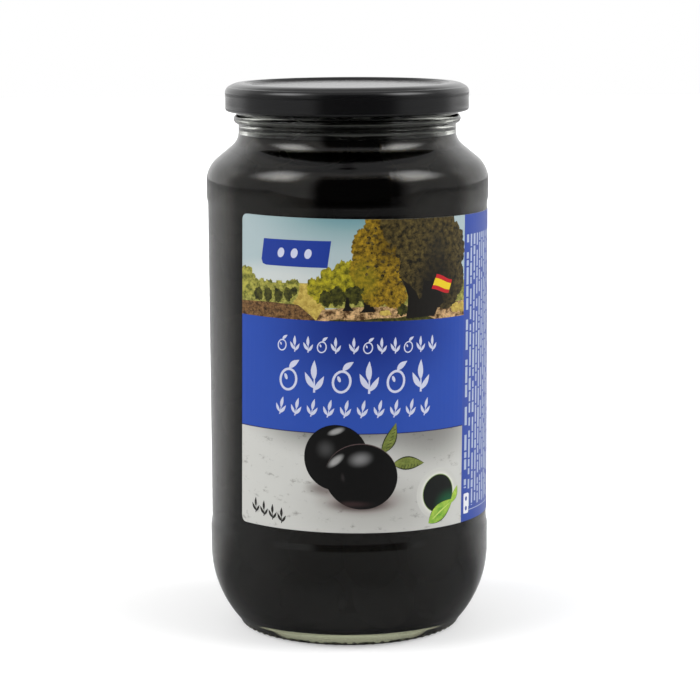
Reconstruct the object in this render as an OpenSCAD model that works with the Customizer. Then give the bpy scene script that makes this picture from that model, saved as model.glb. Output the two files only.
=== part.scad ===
// Glass jar of black olives in brine, with a twist-off steel cap and a wrapped paper label.
// The jar stands on z = 0, its axis is the Z axis, and the middle of the label's front faces -Y.

/* [Glass body] */
// Diameter of the body above and below the label
body_d = 93; // [75:0.5:120]
// Height at which the shoulder starts to turn in
body_h = 148.9; // [110:0.1:190]
// Thickness of the glass
wall_t = 2.9; // [1.8:0.1:4.5]
// Thickness of the glass floor
base_t = 5.4; // [2:0.1:6]
// Height at which the heel becomes upright
heel_h = 26; // [18:0.5:34]
// Radius of the heel's long curve
heel_r = 36; // [28:0.5:40]
// Radius between the heel and the ring that the jar stands on
foot_r = 3; // [1.5:0.1:4]
// Width of the flat ring that the jar stands on
foot_w = 2.2; // [1:0.1:4]
// Rise of the hollow under the base
punt_h = 2.6; // [1:0.1:5]

/* [Label panel] */
// Depth of the recess that protects the label
panel_depth = 0.4; // [0.2:0.05:1]
// Height where the recess starts
panel_z0 = 36; // [30:0.5:50]
// Upright wall left between the recess and the shoulder
panel_top_gap = 7.4; // [4:0.1:14]
// Height of the slope at each end of the recess
panel_step = 2; // [1:0.1:4]

/* [Shoulder and neck] */
// Diameter of the neck
neck_d = 71.6; // [55:0.1:86]
// Radius of the shoulder's outward curve
shoulder_r = 9.6; // [5:0.1:16]
// Angle of the shoulder's slope from upright
shoulder_a = 50.5; // [35:0.5:65]
// Radius where the shoulder runs into the neck
neck_fillet = 6.2; // [3:0.1:9]
// From the foot of the neck to the middle of its bead
neck_h = 4; // [3:0.1:9]
// Radius of the half-round bead under the cap
bead_r = 1.6; // [0.8:0.1:2.2]

/* [Mouth] */
// From the middle of the bead to the rim
mouth_h = 11.2; // [9:0.1:16]
// How far the mouth's wall stands out from the neck
mouth_out = 0.4; // [0:0.1:1]
// Radius of the rim's two edges
rim_r = 1; // [0.4:0.1:1.2]
// Number of threads round the mouth
thread_n = 6; // [4:1:8]
// How far a thread stands out
thread_out = 1.35; // [0.8:0.05:1.6]
// Height of a thread
thread_h = 1.8; // [1:0.1:2.2]
// Share of its pitch that a thread covers
thread_share = 0.72; // [0.5:0.01:0.8]
// Slope of a thread
thread_a = 3; // [1:0.5:4]

/* [Cap] */
// Thickness of the cap's steel with its lining
cap_t = 0.5; // [0.4:0.05:0.8]
// Height of the cap's skirt, from its lower edge to its crown
cap_h = 9.2; // [8:0.1:12]
// Gap between the mouth's wall and the inside of the cap
cap_gap = 3.37; // [2.8:0.01:4.2]
// Radius of the cap's corner
cap_corner_r = 2.4; // [1.4:0.1:3]
// Radius of the flatter curve that leads up to the crown
cap_crown_r = 7; // [5:0.1:9]
// Where the corner's curve changes to the flatter one
cap_turn_a = 55; // [45:1:65]
// Radius of the curled lower edge
curl_r = 0.95; // [0.6:0.05:1.2]
// Depth of the cap's middle panel
cap_recess = 0.9; // [0.5:0.1:1.5]
// Gap between the middle panel's edge and the inside of the mouth
cap_plug_gap = 0.4; // [0.2:0.05:1]
// Gap between a cap lug and the mouth's wall
lug_gap = 0.5; // [0.3:0.05:0.8]
// Width of a cap lug, in degrees
lug_w = 14; // [8:1:20]

/* [Label] */
// Thickness of the paper
label_t = 0.15; // [0.1:0.05:0.3]
// Bare glass between the recess's lower end and the label
label_gap_low = 4.1; // [2:0.1:8]
// Bare glass between the label and the recess's upper end
label_gap_top = 1; // [0.8:0.1:4]
// Direction of the label's first edge, from the front
label_a0 = -48.6; // [-80:0.1:-20]
// Direction of the label's last edge, from the front
label_a1 = 201; // [100:1:260]
// How far the label was put on askew
label_skew = 1.13; // [0:0.01:1.2]

/* [Olives and brine] */
// Depth of the brine's surface under the foot of the neck
brine_drop = 2.5; // [0:0.1:8]
// Diameter of an olive
olive_d = 16.4; // [12:0.1:20]
// Length of an olive
olive_l = 20.5; // [16:0.1:24]
// How far the highest olive stands out of the brine
olive_rise = 4.2; // [2:0.1:6]
// Number of floating olives that touch the glass
ring_n = 7; // [4:1:7]
// Gap between an olive and the glass
olive_gap = 0.3; // [0.1:0.1:1]

/* [Hidden] */
$fn = 96;
ARC_STEP = 6;          // degrees between the points of a curve
FRONT_A = -90;         // the label's front faces -Y

function arc(c, r, a0, a1) = let (n = ceil(abs(a1 - a0) / ARC_STEP))
    [for (i = [0:n]) let (a = a0 + (a1 - a0) * i / n) [c.x + r * cos(a), c.y + r * sin(a)]];

body_r = body_d / 2;
neck_r = neck_d / 2;
panel_r = body_r - panel_depth;
panel_z1 = body_h - panel_top_gap;
mouth_r = neck_r + mouth_out;
bore_r = neck_r - wall_t;

// the two curves of the shoulder are limited by the width between body and neck
shoulder_fit = min(1, 0.95 * (body_r - neck_r) / ((shoulder_r + neck_fillet) * (1 - cos(shoulder_a))));
turn_r = shoulder_r * shoulder_fit;
fillet_r = neck_fillet * shoulder_fit;
turn_c = [body_r - turn_r, body_h];
fillet_x = neck_r + fillet_r;
slope_len = (turn_c.x + turn_r * cos(shoulder_a) - fillet_x + fillet_r * cos(shoulder_a)) / sin(shoulder_a);
neck_z = body_h + turn_r * sin(shoulder_a) + slope_len * cos(shoulder_a) + fillet_r * sin(shoulder_a);
fillet_c = [fillet_x, neck_z];
bead_z = neck_z + neck_h;
rim_z = bead_z + mouth_h;

heel_c = [body_r - heel_r, heel_h];
foot_c = [heel_c.x + sqrt(pow(heel_r - foot_r, 2) - pow(heel_h - foot_r, 2)), foot_r];
foot_a = -atan2(heel_h - foot_r, foot_c.x - heel_c.x);
foot_in = foot_c.x - foot_w;
punt_r = (pow(foot_in, 2) + pow(punt_h, 2)) / (2 * punt_h);
punt_a = asin(foot_in / punt_r);

// the glass floor's corner keeps the wall's thickness along the heel
floor_r = foot_r + wall_t;
floor_heel_r = heel_r - wall_t;
floor_c = [heel_c.x + sqrt(pow(floor_heel_r - floor_r, 2) - pow(heel_h - base_t - floor_r, 2)), base_t + floor_r];
floor_a = -atan2(heel_h - floor_c.y, floor_c.x - heel_c.x);
floor_dome_r = (pow(floor_c.x, 2) + pow(punt_h, 2)) / (2 * punt_h);
floor_dome_a = asin(floor_c.x / floor_dome_r);

crown_z = rim_z + cap_t;
cap_r = mouth_r + cap_gap + cap_t;
cap_z0 = crown_z - cap_h;
corner_c = [cap_r - cap_corner_r, crown_z - cap_crown_r - (cap_corner_r - cap_crown_r) * sin(cap_turn_a)];
crown_c = corner_c + (cap_corner_r - cap_crown_r) * [cos(cap_turn_a), sin(cap_turn_a)];
curl_c = [cap_r - curl_r, cap_z0 + curl_r];
lug_r0 = mouth_r + lug_gap;
lug_z = cap_z0 + curl_r;
thread_z = lug_z + curl_r + thread_h / 2 + 0.8;
thread_w = 360 / thread_n * thread_share;
plug_r = bore_r - cap_plug_gap;

label_z0 = panel_z0 + label_gap_low;
label_z1 = panel_z1 - label_gap_top;
label_zm = (label_z0 + label_z1) / 2;

brine_z = neck_z - brine_drop;
ring_r = bore_r - olive_gap - olive_d / 2;
olive_r = olive_d / 2;
heart_n = 3;           // olives inside the ring
// olives along the ring are smaller where the ring has no room for their full length
olive_fit = min(1, 1.96 * ring_r * tan(180 / ring_n) / olive_l);

// what the glass encloses, from its floor up to the rim
module cavity() {
    rotate_extrude()
        polygon(concat(
            arc([0, base_t + punt_h - floor_dome_r], floor_dome_r, 90, 90 - floor_dome_a),
            arc(floor_c, floor_r, -90, floor_a),
            arc(heel_c, floor_heel_r, floor_a, 0),
            arc(turn_c, turn_r - wall_t, 0, shoulder_a),
            arc(fillet_c, fillet_r + wall_t, 180 + shoulder_a, 180),
            arc([bore_r + rim_r, rim_z - rim_r], rim_r, 180, 90),
            [[0, rim_z]]));
}

module jar() {
    color([0.62, 0.66, 0.56, 0.45]) {
        difference() {
            rotate_extrude()
                polygon(concat(
                    arc([0, punt_h - punt_r], punt_r, 90, 90 - punt_a),
                    arc(foot_c, foot_r, -90, foot_a),
                    arc(heel_c, heel_r, foot_a, 0),
                    [[body_r, panel_z0 - panel_step], [panel_r, panel_z0],
                     [panel_r, panel_z1], [body_r, panel_z1 + panel_step]],
                    arc(turn_c, turn_r, 0, shoulder_a),
                    arc(fillet_c, fillet_r, 180 + shoulder_a, 180),
                    arc([neck_r, bead_z], bead_r, -90, asin(mouth_out / bead_r) + 60),
                    [[mouth_r, bead_z + bead_r]],
                    arc([mouth_r - rim_r, rim_z - rim_r], rim_r, 0, 90),
                    [[0, rim_z]]));
            cavity();
        }
        for (i = [0:thread_n - 1]) rotate([0, 0, i * 360 / thread_n]) thread();
    }
}

// one sloping rib that a cap lug runs under, clear of the lug below it
module thread() {
    translate([0, 0, thread_z])
        rotate([thread_a, 0, 0])
            rotate([0, 0, -thread_w / 2])
                rotate_extrude(angle = thread_w)
                    polygon([[mouth_r - 0.6, -thread_h / 2], [mouth_r + thread_out, -thread_h / 6],
                             [mouth_r + thread_out, thread_h / 6], [mouth_r - 0.6, thread_h / 2]]);
}

module cap() {
    color([0.07, 0.07, 0.075]) {
        rotate_extrude()
            polygon(concat(
                [[cap_r - cap_t, curl_c.y], [cap_r, curl_c.y]],
                arc(corner_c, cap_corner_r, 0, cap_turn_a),
                arc(crown_c, cap_crown_r, cap_turn_a, 90),
                [[plug_r + cap_t, crown_z], [plug_r, crown_z - cap_recess], [0, crown_z - cap_recess],
                 [0, crown_z - cap_recess - cap_t], [plug_r - cap_t / 2, crown_z - cap_recess - cap_t],
                 [plug_r + cap_t, rim_z]],
                arc(crown_c, cap_crown_r - cap_t, 90, cap_turn_a),
                arc(corner_c, cap_corner_r - cap_t, cap_turn_a, 0)));
        rotate_extrude()
            translate(curl_c) circle(curl_r);
        for (i = [0:thread_n - 1]) rotate([0, 0, (i + 0.5) * 360 / thread_n]) lug();
    }
}

module lug() {
    rotate([0, 0, -lug_w / 2])
        rotate_extrude(angle = lug_w)
            translate([lug_r0, lug_z - curl_r / 2]) square([curl_c.x - lug_r0, curl_r]);
}

// a band of paper round the panel, cut to its height by two askew planes
module label() {
    color([0.17, 0.29, 0.64])
        intersection() {
            rotate([0, 0, FRONT_A + label_a0])
                rotate_extrude(angle = label_a1 - label_a0)
                    translate([panel_r, panel_z0]) square([label_t, panel_z1 - panel_z0]);
            translate([0, 0, label_zm])
                rotate([0, label_skew, 0])
                    cube([2 * body_d, 2 * body_d, label_z1 - label_z0], center = true);
        }
}

// one olive lying along X
module olive(size = 1) {
    rotate([0, 90, 0])
        rotate_extrude($fn = 12)
            polygon([for (a = [-90:22.5:90]) size / 2 * [olive_d * cos(a), olive_l * sin(a)]]);
}

// an olive's middle lies below the surface, some olives higher than others
function float_z(i) = brine_z - olive_r + olive_rise * (0.66 + 0.34 * sin(i * 149 + 40));

// the olives that float at the surface, joined low down by the heap under them
module olives() {
    color([0.07, 0.06, 0.05]) {
        for (i = [0:ring_n - 1])
            rotate([0, 0, i * 360 / ring_n + 9 * sin(i * 131)])
                translate([ring_r, 0, float_z(i)])
                    rotate([0, 7 * sin(i * 83), 90 + 6 * sin(i * 57)])
                        olive(olive_fit);
        for (i = [0:heart_n - 1])
            rotate([0, 0, i * 360 / heart_n + 20])
                translate([olive_r * 1.08, 0, float_z(i + ring_n)])
                    rotate([0, 10 * sin(i * 71), 35 * cos(i * 97)])
                        olive();
        translate([0, 0, brine_z - olive_d * 0.75]) cylinder(r = ring_r, h = olive_d / 3, $fn = 12);
    }
}

module brine() {
    color([0.10, 0.08, 0.06])
        difference() {
            intersection() {
                cavity();
                cylinder(r = body_r, h = brine_z);
            }
            olives();
        }
}

jar();
cap();
label();
brine();
olives();
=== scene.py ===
import bmesh
import bpy
from math import acos, asin, atan2, ceil, cos, degrees, exp, hypot, pi, radians, sin, sqrt, tan
from random import Random
from mathutils import Matrix, Vector, noise
from mathutils.geometry import delaunay_2d_cdt


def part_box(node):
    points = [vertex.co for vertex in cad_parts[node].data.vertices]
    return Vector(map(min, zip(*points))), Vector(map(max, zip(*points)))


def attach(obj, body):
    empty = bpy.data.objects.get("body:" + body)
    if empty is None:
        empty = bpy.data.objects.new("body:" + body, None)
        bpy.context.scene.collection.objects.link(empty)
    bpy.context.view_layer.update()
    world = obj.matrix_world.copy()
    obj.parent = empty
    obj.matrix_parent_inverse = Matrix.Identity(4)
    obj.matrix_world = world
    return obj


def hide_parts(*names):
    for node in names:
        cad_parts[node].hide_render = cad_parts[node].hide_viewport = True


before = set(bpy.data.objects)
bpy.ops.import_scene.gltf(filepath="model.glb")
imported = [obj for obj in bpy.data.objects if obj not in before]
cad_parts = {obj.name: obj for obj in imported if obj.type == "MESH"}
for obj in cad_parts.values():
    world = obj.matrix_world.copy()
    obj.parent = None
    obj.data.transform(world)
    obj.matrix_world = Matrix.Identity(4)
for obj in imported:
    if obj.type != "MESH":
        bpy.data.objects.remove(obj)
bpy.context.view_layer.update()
MM = 0.001

# ---------------------------------------------------------------------------------------------
# The glass. A soda-lime jar, pressed and then blown in a split mould: heel, foot ring and punt
# below, a shallow panel that guards the label, a round shoulder, and a neck with a bead.
_, jar_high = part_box("jar")
brine_low, brine_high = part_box("brine")
body_r = jar_high[0]
rim_z = jar_high[2]
floor_t = brine_low[2]
brine_z = brine_high[2]

panel_r = body_r - 0.4 * MM
wall_t = 2.9 * MM
body_z = 148.9 * MM
heel_z = 26 * MM
heel_r = 36 * MM
foot_r = 3 * MM
foot_w = 2.2 * MM
floor_corner_r = foot_r + wall_t
punt_h = 2.6 * MM
panel_low, panel_high = 36 * MM, 141.5 * MM
panel_step = 2 * MM
step_ease, step_bow = 0.3 * MM, 0.03 * MM
neck_r = 35.8 * MM
shoulder_r = 9.6 * MM
shoulder_a = 50.5
neck_h = 4 * MM
neck_fillet = 6.2 * MM
bead_r = 1.6 * MM
mouth_out = 0.4 * MM
mouth_h = 11.2 * MM
rim_edge = 1 * MM
bead_z = rim_z - mouth_h
neck_z = bead_z - neck_h
mouth_r = neck_r + mouth_out
bore_r = neck_r - wall_t


def arc(cx, cz, r, a0, a1, step=4):
    """Points of a round stretch of an outline, from angle a0 to angle a1 in degrees."""
    n = max(1, ceil(abs(a1 - a0) / step))
    turns = [radians(a0 + (a1 - a0) * i / n) for i in range(n + 1)]
    return [(cx + r * cos(a), cz + r * sin(a)) for a in turns]


def tangent_corner(cx, cz, big, small, base):
    """Centre and end angle of a small arc that joins a level line at base to a big arc."""
    x = cx + sqrt((big - small) ** 2 - (cz - base - small) ** 2)
    return x, base + small, -degrees(atan2(cz - base - small, x - cx))


def outer_glass():
    """The outside of the glass, from the middle of the punt up to the rim."""
    heel_x = body_r - heel_r
    foot_x, foot_z, foot_a = tangent_corner(heel_x, heel_z, heel_r, foot_r, 0)
    inner = foot_x - foot_w
    punt_r = (inner ** 2 + punt_h ** 2) / (2 * punt_h)
    return (
        arc(0, punt_h - punt_r, punt_r, 90, 90 - degrees(asin(inner / punt_r)), 1.5)
        + arc(foot_x, foot_z, foot_r, -90, foot_a, 8)
        + arc(heel_x, heel_z, heel_r, foot_a, 0, 3)[1:]
        + [(body_r, panel_low - panel_step - step_ease), (body_r - step_bow, panel_low - panel_step),
           (panel_r + step_bow, panel_low), (panel_r, panel_low + step_ease),
           (panel_r, panel_high - step_ease), (panel_r + step_bow, panel_high),
           (body_r - step_bow, panel_high + panel_step), (body_r, panel_high + panel_step + step_ease)]
        + arc(body_r - shoulder_r, body_z, shoulder_r, 0, shoulder_a)
        + arc(neck_r + neck_fillet, neck_z, neck_fillet, 180 + shoulder_a, 180)
        + arc(neck_r, bead_z, bead_r, -90, 75, 9)
        + [(mouth_r, bead_z + bead_r)]
        + arc(mouth_r - rim_edge, rim_z - rim_edge, rim_edge, 0, 90, 10)
    )


def inner_glass(out=0.0):
    """The inside of the glass from the rim down to its floor, moved out into the wall by out."""
    heel_x = body_r - heel_r
    floor_x, floor_z, floor_a = tangent_corner(heel_x, heel_z, heel_r - wall_t, floor_corner_r, floor_t)
    dome_r = (floor_x ** 2 + punt_h ** 2) / (2 * punt_h)
    shoulder_in = shoulder_r - wall_t
    fillet_in = neck_fillet + wall_t
    return (
        arc(bore_r + rim_edge, rim_z - rim_edge, rim_edge, 90, 180, 10)
        + arc(neck_r + neck_fillet, neck_z, fillet_in - out, 180, 180 + shoulder_a)
        + arc(body_r - shoulder_r, body_z, shoulder_in + out, shoulder_a, 0)
        + arc(heel_x, heel_z, heel_r - wall_t + out, 0, floor_a, 3)
        + arc(floor_x, floor_z, floor_corner_r + out, floor_a, -90, 6)[1:]
        + arc(0, floor_t + punt_h - dome_r, dome_r - out, 90 - degrees(asin(floor_x / dome_r)), 90, 1.5)[1:]
    )


def outward(mesh):
    """Turns every face of a closed skin outwards."""
    shell = bmesh.new()
    shell.from_mesh(mesh)
    bmesh.ops.recalc_face_normals(shell, faces=shell.faces)
    shell.to_mesh(mesh)
    shell.free()


def added(name, data):
    """An object at the origin of the scene that shows this data."""
    piece = bpy.data.objects.new(name, data)
    bpy.context.scene.collection.objects.link(piece)
    return piece


def revolve(name, outline, turns, swell=None):
    """A closed skin from an outline of (radius, height) points; a point on the axis is a pole."""
    points, faces, rings = [], [], []
    for r, z in outline:
        if r < 1e-6:
            points.append((0, 0, z))
            rings.append([len(points) - 1] * turns)
            continue
        ring = []
        for i in range(turns):
            a = 2 * pi * i / turns
            swollen = r + (swell(a, r, z) if swell else 0)
            points.append((swollen * cos(a), swollen * sin(a), z))
            ring.append(len(points) - 1)
        rings.append(ring)
    for low, high in zip(rings, rings[1:]):
        for i in range(turns):
            j = (i + 1) % turns
            corners = [low[i], low[j], high[j], high[i]]
            face = list(dict.fromkeys(corners))
            if len(face) > 2:
                faces.append(face)
    mesh = bpy.data.meshes.new(name)
    mesh.from_pydata(points, [], faces)
    outward(mesh)
    mesh.shade_smooth()
    return added(name, mesh)


seam_a, seam_half_w, seam_h = radians(-90 + 17), radians(0.7), 0.05 * MM
seam_min_r, seam_min_z = 33 * MM, 4 * MM
ripple_h, ripple_l, ripple_full_r = 0.02 * MM, 14 * MM, 20 * MM


def mould_marks(a, r, z):
    """The two upright seams of the split mould, and the slow ripple of blown glass."""
    off = abs((a - seam_a + pi / 2) % pi - pi / 2)
    seam = seam_h * exp(-(off / seam_half_w) ** 2) if r > seam_min_r and z > seam_min_z else 0
    slow = noise.noise(Vector((3 * cos(a), 3 * sin(a), z / ripple_l))) - 1
    return seam + ripple_h * slow * min(1, r / ripple_full_r)


jar = revolve("jar_glass", outer_glass() + inner_glass(), 512, mould_marks)


def new_material(name, **values):
    """A material whose Principled shader has these constants on its own sockets."""
    material = bpy.data.materials.new(name)
    material.use_nodes = True
    shader = material.node_tree.nodes["Principled BSDF"]
    for socket, value in values.items():
        shader.inputs[socket.replace("_", " ")].default_value = value
    return material, material.node_tree, shader


def feed(tree, socket, value):
    """Links another node's output to a socket, or sets the socket to a constant."""
    if isinstance(value, bpy.types.NodeSocket):
        tree.links.new(value, socket)
    else:
        socket.default_value = value


def add_node(tree, kind, feeds=None, **settings):
    """A node with these settings, whose named or numbered sockets are fed."""
    node = tree.nodes.new(kind)
    for setting, value in settings.items():
        setattr(node, setting, value)
    for socket, value in (feeds or {}).items():
        feed(tree, node.inputs[socket], value)
    return node


def soaked(tree, tint, density):
    """Light is taken up in the depth of a clear stuff, so that it tints where it is thick."""
    soak = add_node(tree, "ShaderNodeVolumeAbsorption", {"Color": tint, "Density": density})
    feed(tree, tree.nodes["Material Output"].inputs["Volume"], soak.outputs["Volume"])


glass_soak = ((0.79, 0.81, 0.58, 1), 20)
glass, glass_tree, _ = new_material(
    "jar_glass", Base_Color=(0.96, 0.975, 0.94, 1), Roughness=0.0, IOR=1.52, Transmission_Weight=1.0)
soaked(glass_tree, *glass_soak)
jar.data.materials.append(glass)
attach(jar, "root")
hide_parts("jar")

# ---------------------------------------------------------------------------------------------
# The knurling under the heel: short raised bars all round the foot ring, cut into the mould so
# that the hot jar stands on them. Pressed in the same glass.
knurl_n = 74
knurl_r, knurl_z, knurl_tip = 36.3 * MM, 0.95 * MM, radians(-45)
knurl_size = (1.6 * MM, 1.5 * MM, 0.9 * MM)


def node_tree(name, sockets):
    """A Geometry Nodes tree with a geometry in and out and these named inputs, what it is given
    and what it results in."""
    tree = bpy.data.node_groups.new(name, "GeometryNodeTree")
    tree.interface.new_socket("Geometry", in_out="INPUT", socket_type="NodeSocketGeometry")
    for label, kind in sockets:
        tree.interface.new_socket(label, in_out="INPUT", socket_type=kind)
    tree.interface.new_socket("Geometry", in_out="OUTPUT", socket_type="NodeSocketGeometry")
    return tree, tree.nodes.new("NodeGroupInput").outputs, tree.nodes.new("NodeGroupOutput").inputs


def grown(name, base, tree, values):
    """The plain mesh that the tree makes of the base mesh with these input values."""
    carrier = added(name + "_base", base)
    modifier = carrier.modifiers.new("grow", "NODES")
    modifier.node_group = tree
    names = {s.name: s.identifier for s in tree.interface.items_tree if s.in_out == "INPUT"}
    for label, value in values.items():
        modifier[names[label]] = value
    bpy.context.view_layer.update()
    evaluated = carrier.evaluated_get(bpy.context.evaluated_depsgraph_get())
    mesh = bpy.data.meshes.new_from_object(evaluated)
    mesh.name = name
    bpy.data.objects.remove(carrier)
    return added(name, mesh)


def made_real(tree, instances, finish, result):
    """The end of a tree: its instances become one mesh in one material."""
    real = add_node(tree, "GeometryNodeRealizeInstances", {"Geometry": instances})
    paint = add_node(tree, "GeometryNodeSetMaterial",
                     {"Geometry": real.outputs["Geometry"], "Material": finish})
    feed(tree, result["Geometry"], paint.outputs["Geometry"])


def ring_of_bars():
    """Bars on a circle, each along its radius and tipped to lie on the foot's curve."""
    tree, given, result = node_tree("ring_of_bars", [
        ("Count", "NodeSocketInt"), ("Radius", "NodeSocketFloat"), ("Height", "NodeSocketFloat"),
        ("Tip", "NodeSocketFloat"), ("Size", "NodeSocketVector"), ("Glass", "NodeSocketMaterial")])
    ring = add_node(tree, "GeometryNodeMeshCircle", {"Vertices": given["Count"], "Radius": given["Radius"]})
    bar = add_node(tree, "GeometryNodeMeshIcoSphere", {"Radius": 0.5, "Subdivisions": 2})
    shape = add_node(tree, "GeometryNodeTransform", {"Geometry": bar.outputs["Mesh"], "Scale": given["Size"]})
    index = add_node(tree, "GeometryNodeInputIndex")
    share = add_node(tree, "ShaderNodeMath", {0: index.outputs[0], 1: given["Count"]}, operation="DIVIDE")
    angle = add_node(tree, "ShaderNodeMath", {0: share.outputs[0], 1: 2 * pi}, operation="MULTIPLY")
    spin = add_node(tree, "ShaderNodeCombineXYZ", {"Y": given["Tip"], "Z": angle.outputs[0]})
    place = add_node(tree, "GeometryNodeInstanceOnPoints", {
        "Points": ring.outputs["Mesh"], "Instance": shape.outputs["Geometry"], "Rotation": spin.outputs[0]})
    lift = add_node(tree, "ShaderNodeCombineXYZ", {"Z": given["Height"]})
    move = add_node(tree, "GeometryNodeTransform",
                    {"Geometry": place.outputs["Instances"], "Translation": lift.outputs[0]})
    made_real(tree, move.outputs["Geometry"], given["Glass"], result)
    return tree


knurl = grown("foot_knurl", bpy.data.meshes.new("nothing"), ring_of_bars(), {
    "Count": knurl_n, "Radius": knurl_r, "Height": knurl_z,
    "Tip": knurl_tip, "Size": knurl_size, "Glass": glass})
knurl.data.shade_smooth()
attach(knurl, "root")

# ---------------------------------------------------------------------------------------------
# The mouth's threads: six short sloping ribs under the cap, which its lugs slide beneath. They
# are moulded in the same glass, on the outside of the mouth.
thread_n = 6
thread_h = 1.8 * MM
thread_out = 1.35 * MM
thread_share = 0.72
thread_root = 0.3 * MM
thread_gap = 0.8 * MM
thread_slope = radians(3)
cap_low, cap_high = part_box("cap")
cap_r = cap_high[0]
crown_z = cap_high[2]
curl_r = 0.95 * MM
lug_z = cap_low[2] + curl_r
thread_z = lug_z + curl_r + thread_h / 2 + thread_gap


def rib(name, half_w, section, slope, turns):
    """One rib round the axis: a section of (radius, height) points swept from -half_w to half_w,
    rising by slope; both are angles."""
    points, faces = [], []
    n = len(section)
    for i in range(turns + 1):
        a = half_w * (2 * i / turns - 1)
        for r, z in section:
            points.append((r * cos(a), r * sin(a), z + r * sin(a) * tan(slope)))
    for i in range(turns):
        for k in range(n):
            m = (k + 1) % n
            faces.append((i * n + k, i * n + m, (i + 1) * n + m, (i + 1) * n + k))
    faces.append(tuple(reversed(range(n))))
    faces.append(tuple(turns * n + k for k in range(n)))
    mesh = bpy.data.meshes.new(name)
    mesh.from_pydata(points, [], faces)
    outward(mesh)
    return mesh


def round_array():
    """The base mesh repeated Count times round the axis, starting at the angle Start."""
    tree, given, result = node_tree("round_array", [
        ("Count", "NodeSocketInt"), ("Start", "NodeSocketFloat"), ("Finish", "NodeSocketMaterial")])
    seats = add_node(tree, "GeometryNodeMeshLine", {"Count": given["Count"], "Offset": (0, 0, 0)})
    index = add_node(tree, "GeometryNodeInputIndex")
    share = add_node(tree, "ShaderNodeMath", {0: index.outputs[0], 1: given["Count"]}, operation="DIVIDE")
    angle = add_node(tree, "ShaderNodeMath", {0: share.outputs[0], 1: 2 * pi, 2: given["Start"]},
                     operation="MULTIPLY_ADD")
    spin = add_node(tree, "ShaderNodeCombineXYZ", {"Z": angle.outputs[0]})
    place = add_node(tree, "GeometryNodeInstanceOnPoints", {
        "Points": seats.outputs["Mesh"], "Instance": given["Geometry"], "Rotation": spin.outputs[0]})
    made_real(tree, place.outputs["Instances"], given["Finish"], result)
    return tree


repeat_round = round_array()
thread_section = [
    (mouth_r - thread_root, thread_z - thread_h / 2), (mouth_r + thread_out, thread_z - thread_h / 6),
    (mouth_r + thread_out, thread_z + thread_h / 6), (mouth_r - thread_root, thread_z + thread_h / 2)]
one_thread = rib("rib", pi / thread_n * thread_share, thread_section, thread_slope, 14)
threads = grown("mouth_threads", one_thread, repeat_round, {"Count": thread_n, "Start": 0.0, "Finish": glass})
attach(threads, "root")

# ---------------------------------------------------------------------------------------------
# The brine: dark, nearly black with what the olives give off. It wets the glass, so its skin
# lies just inside the wall and its surface climbs a little at the glass and round each olive.
wetting = 0.12 * MM
climb_h, climb_reach, olive_climb = 1.3 * MM, 1.6 * MM, 0.8
olive_d = 16.4 * MM
olive_l = 20.5 * MM
ring_n = 7
heart_n = 3
olive_rise = 4.2 * MM
wall_gap = 0.3 * MM
ring_r = bore_r - wall_gap - olive_d / 2
heart_r = olive_d / 2 * 1.08
near = 0.01 * MM


def float_z(i):
    """Height of a floating olive's middle; some float higher than others."""
    return brine_z - olive_d / 2 + olive_rise * (0.66 + 0.34 * sin(radians(i * 149 + 40)))


def floaters():
    """Middle, heading and tilt of each olive at the surface, in a ring and inside it."""
    seats = []
    for i in range(ring_n):
        a = radians(i * 360 / ring_n + 9 * sin(radians(i * 131)))
        heading = a + radians(90 + 6 * sin(radians(i * 57)))
        seats.append((Vector((ring_r * cos(a), ring_r * sin(a), float_z(i))), heading, 0.0))
    for i in range(heart_n):
        a = radians(i * 360 / heart_n + 20)
        heading = a + radians(35 * cos(radians(i * 97)))
        tilt = radians(10 * sin(radians(i * 71)))
        seats.append((Vector((heart_r * cos(a), heart_r * sin(a), float_z(i + ring_n))), heading, tilt))
    return seats


def brine_height(x, y, wall):
    """The surface's height: level, and climbing at the wall and at each olive's waterline."""
    climb = exp(-(wall - hypot(x, y)) / climb_reach)
    for middle, heading, tilt in floaters():
        dx, dy = x - middle.x, y - middle.y
        along = dx * cos(heading) + dy * sin(heading)
        across = dy * cos(heading) - dx * sin(heading)
        sunk = sqrt(max(0.0, 1 - ((brine_z - middle.z) / (olive_d / 2)) ** 2))
        half_l, half_d = olive_l / 2 * sunk, olive_d / 2 * sunk
        reach = (hypot(along / half_l, across / half_d) - 1) * half_d
        climb = max(climb, olive_climb * exp(-max(0.0, reach) / climb_reach))
    return brine_z + climb_h * climb


wall_fillet = neck_fillet + wall_t - wetting
top_z = brine_z + climb_h
top_r = neck_r + neck_fillet - sqrt(wall_fillet ** 2 - (neck_z - top_z) ** 2)
skin = [p for p in reversed(inner_glass(wetting)) if p[1] < top_z - 0.2 * MM]
surface_rings = 44
surface = [(top_r * (1 - (k / surface_rings) ** 1.3), top_z) for k in range(surface_rings + 1)]
brine = revolve("brine_liquid", skin + surface, 224)
for v in brine.data.vertices:
    if v.co.z > top_z - near:
        v.co.z = brine_height(v.co.x, v.co.y, top_r)

# only its open surface mirrors; against the glass it has the first material, which doesn't
for name, gloss in (("brine_liquid", 0.0), ("brine_surface", 0.5)):
    liquid, liquid_tree, _ = new_material(
        name, Base_Color=(0.20, 0.145, 0.085, 1), Roughness=0.0, IOR=1.34, Transmission_Weight=1.0,
        Specular_IOR_Level=gloss)
    soaked(liquid_tree, (0.45, 0.33, 0.18, 1), 300)
    brine.data.materials.append(liquid)
for face in brine.data.polygons:
    if face.center.z > brine_z - near and hypot(*face.center.xy) < top_r - 2 * near:
        face.material_index = 1
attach(brine, "root")
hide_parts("brine")

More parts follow.
